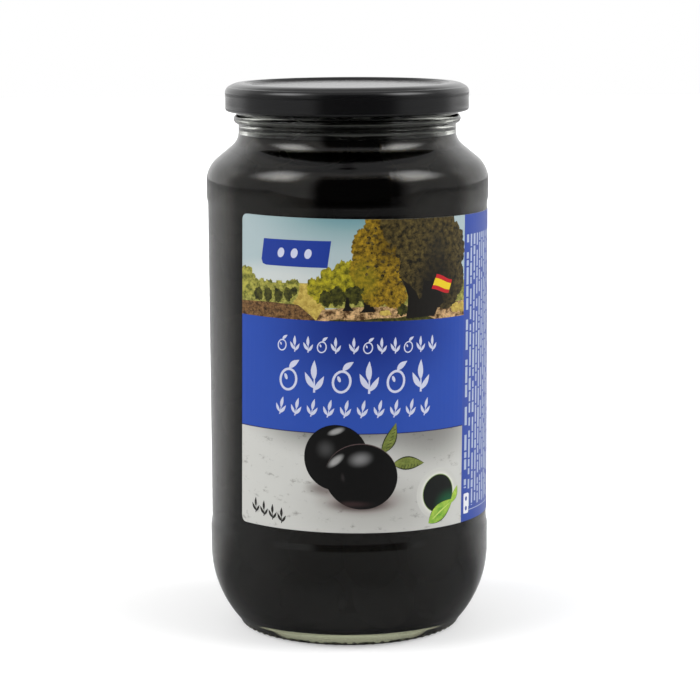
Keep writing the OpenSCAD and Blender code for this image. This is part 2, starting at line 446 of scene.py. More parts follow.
# where brine lies behind the glass nothing is mirrored from the inner wall
wet_glass, wet_tree, _ = new_material(
    "wet_glass", Base_Color=(0.96, 0.975, 0.94, 1), Roughness=0.0, IOR=1.52, Transmission_Weight=1.0,
    Specular_IOR_Level=0.0)
soaked(wet_tree, *glass_soak)
jar.data.materials.append(wet_glass)
floor_play = 0.2 * MM
for face in jar.data.polygons:
    inward = face.normal.x * face.center.x + face.normal.y * face.center.y < 0
    on_floor = face.center.z < floor_t + punt_h + 1 * MM and face.normal.z > 0.9
    if floor_t - floor_play < face.center.z < brine_z and (inward or on_floor):
        face.material_index = 1

# ---------------------------------------------------------------------------------------------
# The olives: black table olives, pitted, so each has a punched hole at one end and a crossed
# slit at the other. The floating ones break the surface; the rest are packed in the brine.
skin_rows = 13
skin_cols = 20


def olive_mesh(name, seed):
    """An olive lying along X, a little uneven, with the pitter's hole and slit."""
    points, faces = [], []
    hole_r, hole_deep = 2.5 * MM, 4.5 * MM
    outline = []
    for t in (acos(1 - 2 * k / skin_rows) for k in range(1, skin_rows)):
        fat = olive_d / 2 * sin(t) * (1 + 0.05 * cos(t))
        outline.append((fat, olive_l / 2 * cos(t)))
    mouth_x = outline[0][1]
    front = [(hole_r * 0.55, mouth_x - hole_deep), (hole_r * 0.85, mouth_x - hole_deep * 0.6),
             (hole_r * 0.92, mouth_x + 0.2 * MM), (hole_r * 1.25, mouth_x + 0.75 * MM)]
    outline = front + outline
    for r, x in outline:
        for i in range(skin_cols):
            a = 2 * pi * i / skin_cols
            p = Vector((x, r * cos(a), r * sin(a)))
            lump = noise.noise(p / (7 * MM) + Vector((seed * 3.7, 0, 0)))
            points.append(p * (1 + 0.035 * lump))
    first, last = len(points), len(points) + 1
    points.append(Vector((outline[0][1] - 0.3 * MM, 0, 0)))
    points.append(Vector((-olive_l / 2 + 1.1 * MM, 0, 0)))
    for k in range(len(outline) - 1):
        for i in range(skin_cols):
            j = (i + 1) % skin_cols
            near_row, far_row = k * skin_cols, (k + 1) * skin_cols
            faces.append((near_row + i, far_row + i, far_row + j, near_row + j))
    end = (len(outline) - 1) * skin_cols
    for i in range(skin_cols):
        j = (i + 1) % skin_cols
        faces.append((first, i, j))
        faces.append((last, end + j, end + i))
    for i in range(0, skin_cols, skin_cols // 4):
        points[end + i].x += 1.0 * MM
    mesh = bpy.data.meshes.new(name)
    mesh.from_pydata(points, [], faces)
    outward(mesh)
    mesh.shade_smooth()
    return mesh


def noise_bump(tree, shader, scale, strength, distance, detail):
    """Fine relief from noise on Object coordinates, fed to the shader's Normal."""
    where = add_node(tree, "ShaderNodeTexCoord")
    grain = add_node(tree, "ShaderNodeTexNoise",
                     {"Vector": where.outputs["Object"], "Scale": scale, "Detail": detail})
    bump = add_node(tree, "ShaderNodeBump",
                    {"Height": grain.outputs["Fac"], "Strength": strength, "Distance": distance})
    feed(tree, shader.inputs["Normal"], bump.outputs["Normal"])
    return grain


olive_skin, skin_tree, skin_shader = new_material(
    "olive_skin", Roughness=0.28, IOR=1.45, Coat_Weight=0.5, Coat_Roughness=0.08)
# under the brine the skin has no gloss, because the liquid refracts almost as it does
# painted shade: its colour is darker and more even than the floating olives' skin, for the dim light down in
# the brine
sunk_skin, _, _ = new_material(
    "sunk_skin", Base_Color=(0.006, 0.0055, 0.005, 1), Roughness=0.7, Specular_IOR_Level=0.0)
mottle = noise_bump(skin_tree, skin_shader, 900, 0.35, 0.0002, 4.0)
tint = add_node(skin_tree, "ShaderNodeValToRGB", {"Fac": mottle.outputs["Fac"]})
for stop, place, colour in ((0, 0.35, (0.006, 0.005, 0.005, 1)), (1, 0.75, (0.030, 0.022, 0.017, 1))):
    tint.color_ramp.elements[stop].position = place
    tint.color_ramp.elements[stop].color = colour
feed(skin_tree, skin_shader.inputs["Base Color"], tint.outputs["Color"])


def joined(name, parts, material):
    """One mesh from several, each with the matrix that puts it in its place."""
    points, faces = [], []
    for mesh, matrix in parts:
        start = len(points)
        points.extend(matrix @ v.co for v in mesh.vertices)
        faces.extend(tuple(start + k for k in f.vertices) for f in mesh.polygons)
    mesh = bpy.data.meshes.new(name)
    mesh.from_pydata(points, [], faces)
    mesh.shade_smooth()
    mesh.materials.append(material)
    return added(name, mesh)


floating = []
for i, (middle, heading, tilt) in enumerate(floaters()):
    turn = Matrix.Rotation(heading + pi * (i % 2), 4, "Z") @ Matrix.Rotation(tilt, 4, "Y")
    floating.append((olive_mesh(f"olive_{i}", i), Matrix.Translation(middle) @ turn))
top_olives = joined("floating_olives", floating, olive_skin)
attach(top_olives, "root")
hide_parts("olives")


def inner_r(z):
    """Radius of the inside of the glass at height z, on its upright outline."""
    outline = [p for p in inner_glass() if p[0] > 20 * MM]
    for (r0, z0), (r1, z1) in zip(outline, outline[1:]):
        if min(z0, z1) <= z <= max(z0, z1) and z0 != z1:
            return r0 + (r1 - r0) * (z - z0) / (z1 - z0)
    return bore_r


def wall_seats(rng):
    """Where olives lie against the glass: staggered layers from the floor to the shoulder."""
    seats = []
    layer_h, spacing, reach = 13.4 * MM, 17.6 * MM, 9 * MM
    first_z = floor_t + punt_h + 9.5 * MM
    last_z = body_z - 2 * MM
    layers = int((last_z - first_z) / layer_h) + 1
    for k in range(layers):
        z = first_z + k * layer_h
        room = min(inner_r(z - reach), inner_r(z), inner_r(z + reach)) - olive_d / 2 * 1.06
        n = int(2 * pi * room / spacing)
        for i in range(n):
            a = 2 * pi * (i + 0.5 * (k % 2) + rng.uniform(-0.16, 0.16)) / n
            r = room - rng.uniform(0, 0.5) * MM
            seats.append((r * cos(a), r * sin(a), z + rng.uniform(-1, 1) * 1.5 * MM))
    return seats


def packed_olives():
    """An olive on each seat, flat against the glass, turned any way along it."""
    tree, given, result = node_tree("packed_olives", [
        ("Olive", "NodeSocketObject"), ("Seed", "NodeSocketInt"), ("Smallest", "NodeSocketFloat"),
        ("Largest", "NodeSocketFloat"), ("Skin", "NodeSocketMaterial")])
    seed = given["Seed"]
    source = add_node(tree, "GeometryNodeObjectInfo", {"Object": given["Olive"]})
    where = add_node(tree, "GeometryNodeInputPosition")
    split = add_node(tree, "ShaderNodeSeparateXYZ", {0: where.outputs[0]})
    facing = add_node(tree, "ShaderNodeMath",
                      {0: split.outputs["Y"], 1: split.outputs["X"]}, operation="ARCTAN2")
    roll = add_node(tree, "FunctionNodeRandomValue", {3: 2 * pi, "Seed": seed})
    size = add_node(tree, "FunctionNodeRandomValue", {2: given["Smallest"], 3: given["Largest"], "Seed": seed})
    turn = add_node(tree, "ShaderNodeCombineXYZ", {"X": roll.outputs[1], "Z": facing.outputs[0]})
    place = add_node(tree, "GeometryNodeInstanceOnPoints", {
        "Points": given["Geometry"], "Instance": source.outputs["Geometry"],
        "Rotation": turn.outputs[0], "Scale": size.outputs[1]})
    made_real(tree, place.outputs["Instances"], given["Skin"], result)
    return tree


pattern_mesh = olive_mesh("olive_pattern", 11)
pattern_mesh.transform(Matrix.Rotation(pi / 2, 4, "Z"))
pattern = bpy.data.objects.new("olive_pattern", pattern_mesh)
seat_mesh = bpy.data.meshes.new("olive_seats")
seat_mesh.from_pydata(wall_seats(Random(5)), [], [])
sunk = grown("sunk_olives", seat_mesh, packed_olives(), {
    "Olive": pattern, "Seed": 3, "Smallest": 0.93, "Largest": 1.04, "Skin": sunk_skin})
sunk.data.shade_smooth()
bpy.data.objects.remove(pattern)
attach(sunk, "root")

# the heap behind the outer olives, which closes the gaps between them
core_r = inner_r(80 * MM) - 15 * MM
core_low, core_high = floor_t + punt_h + 3 * MM, body_z
core_corner = 8 * MM
core_outline = (
    [(0, core_low)]
    + arc(core_r - core_corner, core_low + core_corner, core_corner, -90, 0, 15)
    + arc(core_r - core_corner, core_high - core_corner, core_corner, 0, 90, 15)
    + [(0, core_high)]
)


def heap_lumps(a, r, z):
    """How far the heap's skin swells or sinks at a point."""
    return 1.2 * MM * noise.noise(Vector((r * cos(a), r * sin(a), z)) / (9 * MM))


core = revolve("olive_heap", core_outline, 48, heap_lumps)
# the heap wears the same darker skin, painted shade for the dim light in the brine
core.data.materials.append(sunk_skin)
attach(core, "root")

# ---------------------------------------------------------------------------------------------
# The cap: tinplate pressed to a crown with a sunk middle, its edge curled and pinched into six
# lugs, lacquered gloss black inside and out.
cap_t = 0.5 * MM
cap_corner_r = 2.4 * MM
cap_crown_r = 7 * MM
cap_turn_a = 55
cap_recess = 0.9 * MM
plug_r = bore_r - 0.4 * MM
lug_w = radians(14)
lug_in = mouth_r + 0.5 * MM


def cap_outline():
    """The cap's sheet: over the crown from the middle, round the curl, and back underneath."""
    corner_z = crown_z - cap_crown_r + (cap_crown_r - cap_corner_r) * sin(radians(cap_turn_a))
    corner_x = cap_r - cap_corner_r
    crown_x = corner_x - (cap_crown_r - cap_corner_r) * cos(radians(cap_turn_a))
    crown_c = crown_z - cap_crown_r
    step_z = corner_z - 0.5 * MM
    curl_x, curl_z = cap_r - curl_r, cap_low[2] + curl_r
    sunk_z = crown_z - cap_recess
    return (
        [(0, sunk_z), (plug_r - 6 * MM, sunk_z)]
        + arc(plug_r - 1.2 * MM, sunk_z + 1.2 * MM, 1.2 * MM, -90, -35, 9)
        + arc(plug_r + cap_t + 1.0 * MM, crown_z - 0.55 * MM, 0.55 * MM, 150, 90, 12)
        + arc(crown_x, crown_c, cap_crown_r, 90, cap_turn_a, 4)
        + arc(corner_x, corner_z, cap_corner_r, cap_turn_a, 8, 6)
        + [(cap_r - 0.02 * MM, step_z + 0.3 * MM), (cap_r - 0.07 * MM, step_z),
           (cap_r - 0.05 * MM, step_z - 0.4 * MM), (cap_r - 0.04 * MM, curl_z + 1.6 * MM)]
        + arc(curl_x, curl_z, curl_r, 10, -250, 10)
        + [(cap_r - cap_t, curl_z + 1.1 * MM)]
        + arc(corner_x, corner_z, cap_corner_r - cap_t, 0, cap_turn_a, 8)
        + arc(crown_x, crown_c, cap_crown_r - cap_t, cap_turn_a, 90, 6)
        + [(plug_r + cap_t, rim_z), (plug_r - cap_t / 2, sunk_z - cap_t), (0, sunk_z - cap_t)]
    )


cap = revolve("twist_cap", cap_outline(), 256)
lacquer, lacquer_tree, lacquer_shader = new_material(
    "black_lacquer", Base_Color=(0.004, 0.004, 0.0045, 1), Roughness=0.24, IOR=1.5,
    Coat_Weight=0.35, Coat_Roughness=0.10, Coat_IOR=1.5)
noise_bump(lacquer_tree, lacquer_shader, 420, 0.2, 0.00004, 3.0)
lug_section = [(lug_in, lug_z - curl_r * 0.45), (lug_in + 0.35 * MM, lug_z - curl_r * 0.75),
               (cap_r - curl_r, lug_z - curl_r * 0.7), (cap_r - curl_r, lug_z + curl_r * 0.7),
               (lug_in + 0.35 * MM, lug_z + curl_r * 0.55), (lug_in, lug_z + curl_r * 0.3)]
lugs = grown("cap_lugs", rib("lug", lug_w / 2, lug_section, 0, 8), repeat_round,
             {"Count": thread_n, "Start": pi / thread_n, "Finish": lacquer})
for piece in (cap, lugs):
    if not piece.data.materials:
        piece.data.materials.append(lacquer)
    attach(piece, "root")
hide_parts("cap")

# ---------------------------------------------------------------------------------------------
# The label: one strip of printed paper, glued into the panel and put on a little askew. Its
# print is laid out flat, in millimetres along the strip and up it from the front's middle.
_, label_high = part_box("label")
label_r = label_high[0]
label_mid_z = 90.3 * MM
label_skew = radians(1.13)
paper_t = 0.12 * MM
paper_corner = 2.0
left_u, right_u, half_h = -38.3, 161.2, 50.2
panel_u = 42.8
fold_w = 2
uv_unit = 100
print_shapes = []


def wrapped(u, v, out=0.0):
    """The place on the jar of a point of the flat strip: round the panel, then turned askew."""
    a = (u + v * sin(label_skew)) * MM / label_r
    r = label_r + out
    x, y, z = r * sin(a), -r * cos(a), v * MM
    return Vector((x, y, label_mid_z + z * cos(label_skew) - x * sin(label_skew)))


def oval(u, v, half_w, half_l, turn, n):
    """Points of an ellipse, turned by an angle in degrees."""
    c, s = cos(radians(turn)), sin(radians(turn))
    span = [radians(360 * i / n) for i in range(n)]
    return [(u + half_w * cos(t) * c - half_l * sin(t) * s,
             v + half_w * cos(t) * s + half_l * sin(t) * c) for t in span]


def leaf(u0, v0, u1, v1, fat=0.28, bow=0.0, n=9):
    """A pointed leaf from its stalk to its tip, bowed to one side by a share of its length."""
    du, dv = u1 - u0, v1 - v0
    sides = []
    for side in (1, -1):
        for i in range(n):
            t = (i + 1) / (n + 1) if side > 0 else 1 - (i + 1) / (n + 1)
            w = side * fat * sin(pi * t ** 0.85) / 2 + bow * sin(pi * t)
            sides.append((u0 + du * t - dv * w, v0 + dv * t + du * w))
    return [(u0, v0)] + sides[:n] + [(u1, v1)] + sides[n:]


def clump(u, v, half_w, half_l, bumps, depth, seed):
    """A tree's crown: an oval with a lobed, uneven edge."""
    rng = Random(seed)
    n = bumps * 6
    offs = [rng.uniform(-1, 1) for _ in range(bumps)]
    points = []
    for i in range(n):
        t = 2 * pi * i / n
        lobe = abs(sin(t * bumps / 2 + offs[i * bumps // n] * 0.6))
        k = 1 - depth * (1 - lobe) + depth * (0.6 * offs[i * bumps // n] + 0.4 * rng.uniform(-1, 1))
        points.append((u + half_w * k * cos(t), v + half_l * k * sin(t)))
    return points


def rectangle(u0, v0, u1, v1):
    """A plain upright field between two corners."""
    return [(u0, v0), (u1, v0), (u1, v1), (u0, v1)]


def rounded(u0, v0, u1, v1, r, n=4):
    """A rectangle with rounded corners."""
    points = []
    corners = (u1 - r, v1 - r, 0), (u0 + r, v1 - r, 90), (u0 + r, v0 + r, 180), (u1 - r, v0 + r, 270)
    for cu, cv, a in corners:
        points += [(cu + r * cos(radians(a + 90 * i / n)), cv + r * sin(radians(a + 90 * i / n)))
                   for i in range(n + 1)]
    return points


def printed(ink, outline):
    """Adds a field of one ink over what is printed already, its outline turned anticlockwise."""
    area = sum(a[0] * b[1] - b[0] * a[1] for a, b in zip(outline, outline[1:] + outline[:1]))
    print_shapes.append((ink, outline if area > 0 else outline[::-1]))


def crowns(ink, bumps, depth, seed, places):
    """A row of lobed crowns or tufts in one ink, each with its middle and half-sizes."""
    for i, place in enumerate(places):
        printed(ink, clump(*place, bumps, depth, seed + i))


def sprig(ink, u, v, h, lean=0.0):
    """A small upright twig with a leaf at its tip and one at each side."""
    top = u + lean * h, v + h
    mid = u + lean * h * 0.4, v + h * 0.4
    stalk_w, tip_w = 0.035 * h, 0.02 * h
    printed(ink, [(u - stalk_w, v), (u + stalk_w, v), (mid[0] + tip_w, mid[1]), (mid[0] - tip_w, mid[1])])
    printed(ink, leaf(mid[0], mid[1] - 0.03 * h, top[0], top[1], 0.30, 0.03, 5))
    printed(ink, leaf(u + 0.01 * h, v + 0.12 * h, u - (0.30 - lean * 0.4) * h, v + 0.62 * h, 0.30, 0.05, 5))
    printed(ink, leaf(u - 0.01 * h, v + 0.06 * h, u + (0.30 + lean * 0.4) * h, v + 0.52 * h, 0.30, -0.05, 5))


def fruit(ink, ground, u, v, h):
    """An olive drawn in outline, with a leaf above it."""
    printed(ink, oval(u, v + 0.36 * h, 0.30 * h, 0.36 * h, -12, 24))
    printed(ground, oval(u, v + 0.36 * h, 0.225 * h, 0.285 * h, -12, 24))
    printed(ink, leaf(u + 0.02 * h, v + 0.70 * h, u + 0.36 * h, v + 0.98 * h, 0.40, 0.05, 5))
    printed(ink, oval(u - 0.08 * h, v + 0.44 * h, 0.05 * h, 0.10 * h, 20, 10))


# the picture at the top: sky, rows of trees, an old olive tree at the right, and a bare block
sky_v, blue_v = 17.9, -18.2
printed("sky", rectangle(left_u, sky_v, panel_u, half_h))
printed("grove_far", [(left_u, 28.6), (-16, 29.6), (panel_u, 29.4), (panel_u, 22), (left_u, 22)])
printed("field", [(left_u, 17.9), (left_u, 22.4), (-27, 22.9), (-15.5, 22.6), (-12.6, 19.6), (-9, 17.9)])
printed("straw", [(-15.9, 29.5), (-12.7, 29.7), (-10.4, 24.6), (-6.5, 20.6), (-8.5, 17.9), (-10.5, 17.9),
                  (-13.2, 20.2), (-16.5, 22.6), (-18.6, 22.9), (-16.6, 25.4)])
printed("sand", [(-10.5, 17.9), (-8.6, 21.4), (0, 22.4), (20, 22.9), (panel_u, 22.8), (panel_u, 17.9)])
for seed, place in ((256, (-36.6, 28.6, 4.6, 5.4)), (231, (-33.0, 27.0, 2.6, 3.2))):
    crowns("leaf_light", 9, 0.14, seed, [place])
for i, (u, v, w, h) in enumerate((
        (-30.6, 26.6, 2.6, 3.8), (-26.8, 26.6, 2.4, 3.9), (-23.0, 26.8, 2.3, 3.7),
        (-19.4, 27.2, 2.4, 3.6), (-17.4, 28.4, 1.6, 2.4))):
    crowns("leaf_light", 8, 0.16, 40 + i, [(u, v, w, h)])
    crowns("leaf_deep", 7, 0.2, 60 + i, [(u - 0.5, v - 1.5, w * 0.72, h * 0.62)])
crowns("leaf_bright", 9, 0.15, 80, (
    (-12.0, 28.3, 1.7, 3.2), (-9.8, 27.6, 2.4, 4.4), (-6.2, 29.0, 3.6, 6.2),
    (-1.6, 31.2, 4.2, 6.8), (3.0, 31.0, 3.6, 6.0)))
crowns("leaf_deep", 8, 0.2, 100, (
    (-7.4, 25.0, 2.2, 2.6), (-3.6, 25.6, 2.6, 3.4), (1.2, 26.4, 2.8, 3.2), (5.4, 27.0, 3.4, 4.4)))
printed("trunk", [(-2.3, 21.2), (-1.5, 22.4), (-1.1, 25.6), (-0.3, 25.6), (0.1, 22.8), (1.5, 21.3)])
printed("trunk", [(3.4, 20.7), (4.6, 22.2), (4.4, 27.6), (5.6, 27.6), (6.6, 24.6), (8.4, 21.0)])
crowns("leaf_gold", 21, 0.08, 120, (
    (5.8, 41.6, 5.6, 6.6), (5.4, 34.6, 5.6, 6.6), (12.2, 30.2, 6.4, 7.0), (10.6, 46.6, 7.2, 5.6),
    (13.6, 43.6, 8.0, 8.6), (14.6, 26.0, 4.2, 4.2), (8.4, 26.4, 4.6, 4.0)))
crowns("leaf_dark", 27, 0.06, 140, (
    (24.0, 42.6, 10.0, 9.6), (34.0, 40.0, 8.8, 9.6), (20.6, 34.4, 5.0, 6.6), (31.0, 31.4, 9.4, 7.4),
    (38.6, 30.4, 4.0, 5.8), (33.6, 25.0, 5.6, 4.4), (25.4, 28.6, 5.0, 6.0), (15.0, 46.2, 5.0, 4.4)))
printed("leaf_dark", [(9.6, half_h), (9.0, 47.6), (14, 45.0), (30, 45.0), (37.6, 46.6), (37.0, half_h)])
# shaded tufts in the golden crown, the ground's shade, and the trunk that it merges into
tufts = Random(21)
for _ in range(60):
    u, v, w = tufts.uniform(5, 17), tufts.uniform(30, 48), tufts.uniform(0.25, 0.8)
    printed("leaf_dark", clump(u, v, w, w * 0.7, 6, 0.3, tufts.randrange(999)))
printed("leaf_deep", [(-7, 17.9), (-4, 18.5), (3, 18.3), (9, 19.0), (15, 18.9), (20, 19.6), (27, 18.8),
                      (29, 17.9)])
crowns("leaf_deep", 9, 0.2, 171, [(17.2, 21.4, 1.9, 1.9)])
printed("trunk", [(18.4, 18.6), (18.9, 21.5), (19.0, 25.6), (18.2, 28.0), (16.8, 31.2), (19.6, 29.2),
                  (21.9, 26.9), (23.0, 24.6), (24.0, 25.2), (24.6, 30.4), (29.6, 30.0), (33.0, 23.0),
                  (30.2, 21.4), (29.0, 19.0)])
crowns("straw", 7, 0.2, 160, ((38.6, 20.9, 2.6, 1.7), (41.6, 20.8, 1.8, 1.8), (11.4, 20.6, 2.2, 0.9)))
printed("blue_flat", [(-29.0, 43.0), (-6.0, 43.2), (-7.1, 34.7), (-28.0, 34.6), (-29.4, 35.0), (-29.9, 36.4)])
for i in range(3):
    printed("pale", oval(-22.6 + 4.6 * i, 38.9, 1.15, 1.6, -18, 20))
for ink, low, high in (("red", 0.0, 1.0), ("yellow", 0.26, 0.74)):
    edge = []
    for share, ways in ((low, range(9)), (high, range(8, -1, -1))):
        for i in ways:
            t = i / 8
            edge.append((27.7 + 7.1 * t + (2.0 - 0.3 * t) * share,
                         27.6 - 1.9 * t + 4.6 * share - 0.4 * share * t + 0.16 * sin(2 * pi * t)))
    printed(ink, edge)

# the blue band under it, with three rows of twigs and fruit
printed("blue", rectangle(left_u, blue_v, panel_u, sky_v))
printed("blue_line", rectangle(left_u, blue_v, panel_u, blue_v + 0.28))
for i in range(12):
    u = -21.9 + 4.45 * i + (0.0 if i < 5 else 1.3)
    if i % 3:
        sprig("pale", u, 7.6, 5.3)
    else:
        fruit("pale", "blue", u, 7.6, 5.3)
for i in range(6):
    u = -19.6 + 8.75 * i
    if i % 2:
        sprig("pale", u, -5.1, 10.4)
    else:
        fruit("pale", "blue", u, -5.1, 10.4)
for i in range(10):
    sprig("pale", -22.6 + 5.35 * i, -12.9, 5.8, 0.22)

# two olives with leaves on pale stone, and at the right a badge with a leaf
printed("stone", rectangle(left_u, -half_h, panel_u, blue_v))
for ink, shrink in (("leaf_rim", 1.0), ("leaf_green", 0.8)):
    printed(ink, leaf(11.0, -24.6, 15.7, -14.6, 0.36 * shrink, -0.06))
    printed(ink, leaf(14.7, -28.0, 25.9, -28.3, 0.40 * shrink, 0.02))
for k in range(6):
    printed("leaf_rim", [(12.4 + 0.5 * k, -22.9 + 1.15 * k), (13.9 + 0.38 * k, -22.4 + 1.15 * k),
                         (13.9 + 0.38 * k, -22.2 + 1.15 * k), (12.4 + 0.5 * k, -22.7 + 1.15 * k)])
    printed("leaf_rim", [(17.6 + 1.1 * k, -29.7 + 0.06 * k), (17.8 + 1.1 * k, -29.7 + 0.06 * k),
                         (18.1 + 1.1 * k, -28.4), (17.9 + 1.1 * k, -28.4)])
printed("olive_ink", oval(-3.6, -25.8, 10.3, 10.6, 0, 56))
printed("olive_rim", oval(4.7, -31.7, 11.7, 10.55, -8, 60))
printed("olive_ink", oval(4.7, -31.95, 11.75, 10.5, -8, 60))
badge_u, badge_v = 31.9, -38.9
for ink, w, h in (("badge_glow", 8.6, 8.4), ("badge_rim", 6.35, 6.3), ("badge", 6.15, 6.1)):
    printed(ink, oval(badge_u, badge_v, w, h, 0, 48))
for ink, shrink in (("leaf_rim", 1.0), ("leaf_fresh", 0.9)):
    printed(ink, leaf(27.9, -48.4, 38.5, -41.6, 0.46 * shrink, 0.02))
    printed(ink, leaf(37.7, -42.8, 40.6, -37.4, 0.40 * shrink, -0.04))
printed("leaf_vein", leaf(29.0, -47.6, 37.4, -42.5, 0.05, 0.03))
for i in range(4):
    sprig("dark_ink", -31.8 + 3.4 * i, -46.3 - 0.72 * i, 5.2)

# the strip of small print that runs on round the right side: plain bars, a pale box, a rule
printed("blue_side", rectangle(panel_u, -half_h, right_u, half_h))
small_columns, small_pitch = 26, 2.25
rng = Random(8)
for column in range(small_columns):
    u = panel_u + 2.1 + small_pitch * column
    v, low = 43.7, (-39.2 if column == 0 else -45.6)
    while v > low:
        length = min(rng.uniform(1.4, 6.5), v - low)
        fat = 0.66 if column == 0 or rng.random() < 0.12 else 0.5
        printed("small_print", rectangle(u - fat, v - length, u + fat, v))
        v -= length + rng.choice((0.5, 0.5, 0.6, 1.6 if column else 3.2))
printed("white", rounded(44.2, -47.7, 47.2, -41.0, 0.5))
for v in (-46.0, -42.8):
    printed("blue_side", oval(45.7, v, 0.6, 0.75, 0, 14))
rule_end = panel_u + small_pitch * small_columns
printed("small_print", [(47.4, -46.9), (rule_end, -47.1), (rule_end, -46.85), (47.4, -46.65)])


def label_mesh():
    """The flat print cut into one map of fields, then wrapped, with a back and an edge."""
    outline = rounded(left_u, -half_h, right_u, half_h, paper_corner, 6)
    points = [Vector(p) for p in outline]
    faces = [list(range(len(points)))]
    for ink, shape in print_shapes:
        start = len(points)
        points.extend(Vector(p) for p in shape)
        faces.append(list(range(start, len(points))))
    edges = []
    columns = int((right_u - left_u) / fold_w)
    for i in range(1, columns):
        u = left_u + (right_u - left_u) * i / columns
        edges.append((len(points), len(points) + 1))
        points += [Vector((u, -half_h)), Vector((u, half_h))]
    flat, _, cut, _, _, owners = delaunay_2d_cdt(points, edges, faces, 1, 1e-5, True)
    inks = list(dict.fromkeys(ink for ink, _ in print_shapes))
    kept, ink_of = [], []
    for face, owner in zip(cut, owners):
        if 0 in owner and len(owner) > 1:
            kept.append(tuple(face))
            ink_of.append(inks.index(print_shapes[max(owner) - 1][0]))
    n = len(flat)
    skin = [wrapped(p.x, p.y) for p in flat] + [wrapped(p.x, p.y, -paper_t) for p in flat]
    open_edges = {}
    for face in kept:
        for a, b in zip(face, face[1:] + face[:1]):
            if not open_edges.pop((b, a), False):
                open_edges[a, b] = True
    back = [tuple(n + k for k in reversed(face)) for face in kept]
    rim = [(b, a, n + a, n + b) for a, b in open_edges]
    mesh = bpy.data.meshes.new("front_label")
    mesh.from_pydata(skin, [], kept + back + rim)
    prints = mesh.uv_layers.new(name="print")
    for corner in mesh.loops:
        p = flat[corner.vertex_index % n]
        prints.data[corner.index].uv = (p.x / uv_unit, p.y / uv_unit)
    for k, face in enumerate(mesh.polygons):
        face.material_index = ink_of[k] if k < len(kept) else len(inks)
    outward(mesh)
    return mesh, inks


paper_mesh, inks = label_mesh()
label = added("front_label", paper_mesh)


def tint_of(r, g, b):
    """A printed tint, given as on a screen from 0 to 255, as the shader wants it."""
    shares = r / 255, g / 255, b / 255
    return tuple(c / 12.92 if c <= 0.04045 else ((c + 0.055) / 1.055) ** 2.4 for c in shares) + (1,)


def shade_group(name, given):
    """A shader node group with these named inputs that makes a colour, what it is given and what
    it results in."""
    tree = bpy.data.node_groups.new(name, "ShaderNodeTree")
    for title, kind, value in given:
        tree.interface.new_socket(title, in_out="INPUT", socket_type=kind).default_value = value
    tree.interface.new_socket("Colour", in_out="OUTPUT", socket_type="NodeSocketColor")
    return tree, tree.nodes.new("NodeGroupInput").outputs, tree.nodes.new("NodeGroupOutput").inputs


def print_grain():
    """Two tints broken up by noise on the flat print, as foliage, soil and stone are printed."""
    tree, given, result = shade_group("print_grain", [
        ("Dark", "NodeSocketColor", (0, 0, 0, 1)), ("Light", "NodeSocketColor", (1, 1, 1, 1)),
        ("Scale", "NodeSocketFloat", 60.0), ("Low", "NodeSocketFloat", 0.35),
        ("High", "NodeSocketFloat", 0.65), ("Stretch", "NodeSocketVector", (1, 1, 1))])
    flat = add_node(tree, "ShaderNodeUVMap", uv_map="print")
    stretch = add_node(tree, "ShaderNodeMapping",
                       {"Vector": flat.outputs["UV"], "Scale": given["Stretch"]})
    grain = add_node(tree, "ShaderNodeTexNoise", {
        "Vector": stretch.outputs["Vector"], "Scale": given["Scale"],
        "Detail": 9.0, "Roughness": 0.74})
    spread = add_node(tree, "ShaderNodeMapRange", {
        "Value": grain.outputs["Fac"], "From Min": given["Low"], "From Max": given["High"]})
    mix = add_node(tree, "ShaderNodeMix", {
        "Factor": spread.outputs["Result"], 6: given["Dark"], 7: given["Light"]},
        data_type="RGBA")
    feed(tree, result["Colour"], mix.outputs[2])
    return tree


def soft_spot():
    """Lays a tint with a soft edge over a colour, in an oval on the flat print."""
    tree, given, result = shade_group("soft_spot", [
        ("Under", "NodeSocketColor", (0, 0, 0, 1)), ("Tint", "NodeSocketColor", (1, 1, 1, 1)),
        ("Centre", "NodeSocketVector", (0, 0, 0)), ("Size", "NodeSocketVector", (1, 1, 1)),
        ("Core", "NodeSocketFloat", 0.2), ("Turn", "NodeSocketFloat", 0.0),
        ("Strength", "NodeSocketFloat", 1.0)])
    flat = add_node(tree, "ShaderNodeUVMap", uv_map="print")
    off = add_node(tree, "ShaderNodeVectorMath",
                   {0: flat.outputs["UV"], 1: given["Centre"]}, operation="SUBTRACT")
    turned = add_node(tree, "ShaderNodeVectorRotate",
                      {"Vector": off.outputs[0], "Angle": given["Turn"]},
                      rotation_type="Z_AXIS", invert=True)
    share = add_node(tree, "ShaderNodeVectorMath",
                     {0: turned.outputs["Vector"], 1: given["Size"]}, operation="DIVIDE")
    reach = add_node(tree, "ShaderNodeVectorMath", {0: share.outputs[0]}, operation="LENGTH")
    fade = add_node(tree, "ShaderNodeMapRange", {
        "Value": reach.outputs["Value"], "From Min": given["Core"], "To Min": 1.0, "To Max": 0.0},
        interpolation_type="SMOOTHSTEP")
    amount = add_node(tree, "ShaderNodeMath",
                      {0: fade.outputs["Result"], 1: given["Strength"]}, operation="MULTIPLY")
    mix = add_node(tree, "ShaderNodeMix", {
        "Factor": amount.outputs[0], 6: given["Under"], 7: given["Tint"]}, data_type="RGBA")
    feed(tree, result["Colour"], mix.outputs[2])
    return tree


grain_group, spot_group = print_grain(), soft_spot()
ink_finish = {"Roughness": 0.34, "IOR": 1.45}


def spotted(ink, under, spots):
    """Lays soft spots over an ink's colour: the tint, middle and half-sizes in millimetres, core,
    turn in degrees and strength of each."""
    material, tree, shader = ink
    for tint, u, v, w, h, core, turn, strength in spots:
        spot = add_node(tree, "ShaderNodeGroup", {
            "Under": under, "Tint": tint_of(*tint), "Centre": (u / uv_unit, v / uv_unit, 0),
            "Size": (w / uv_unit, h / uv_unit, 1), "Core": core, "Turn": radians(turn),
            "Strength": strength}, node_tree=spot_group)
        under = spot.outputs["Colour"]
    feed(tree, shader.inputs["Base Color"], under)
    return material


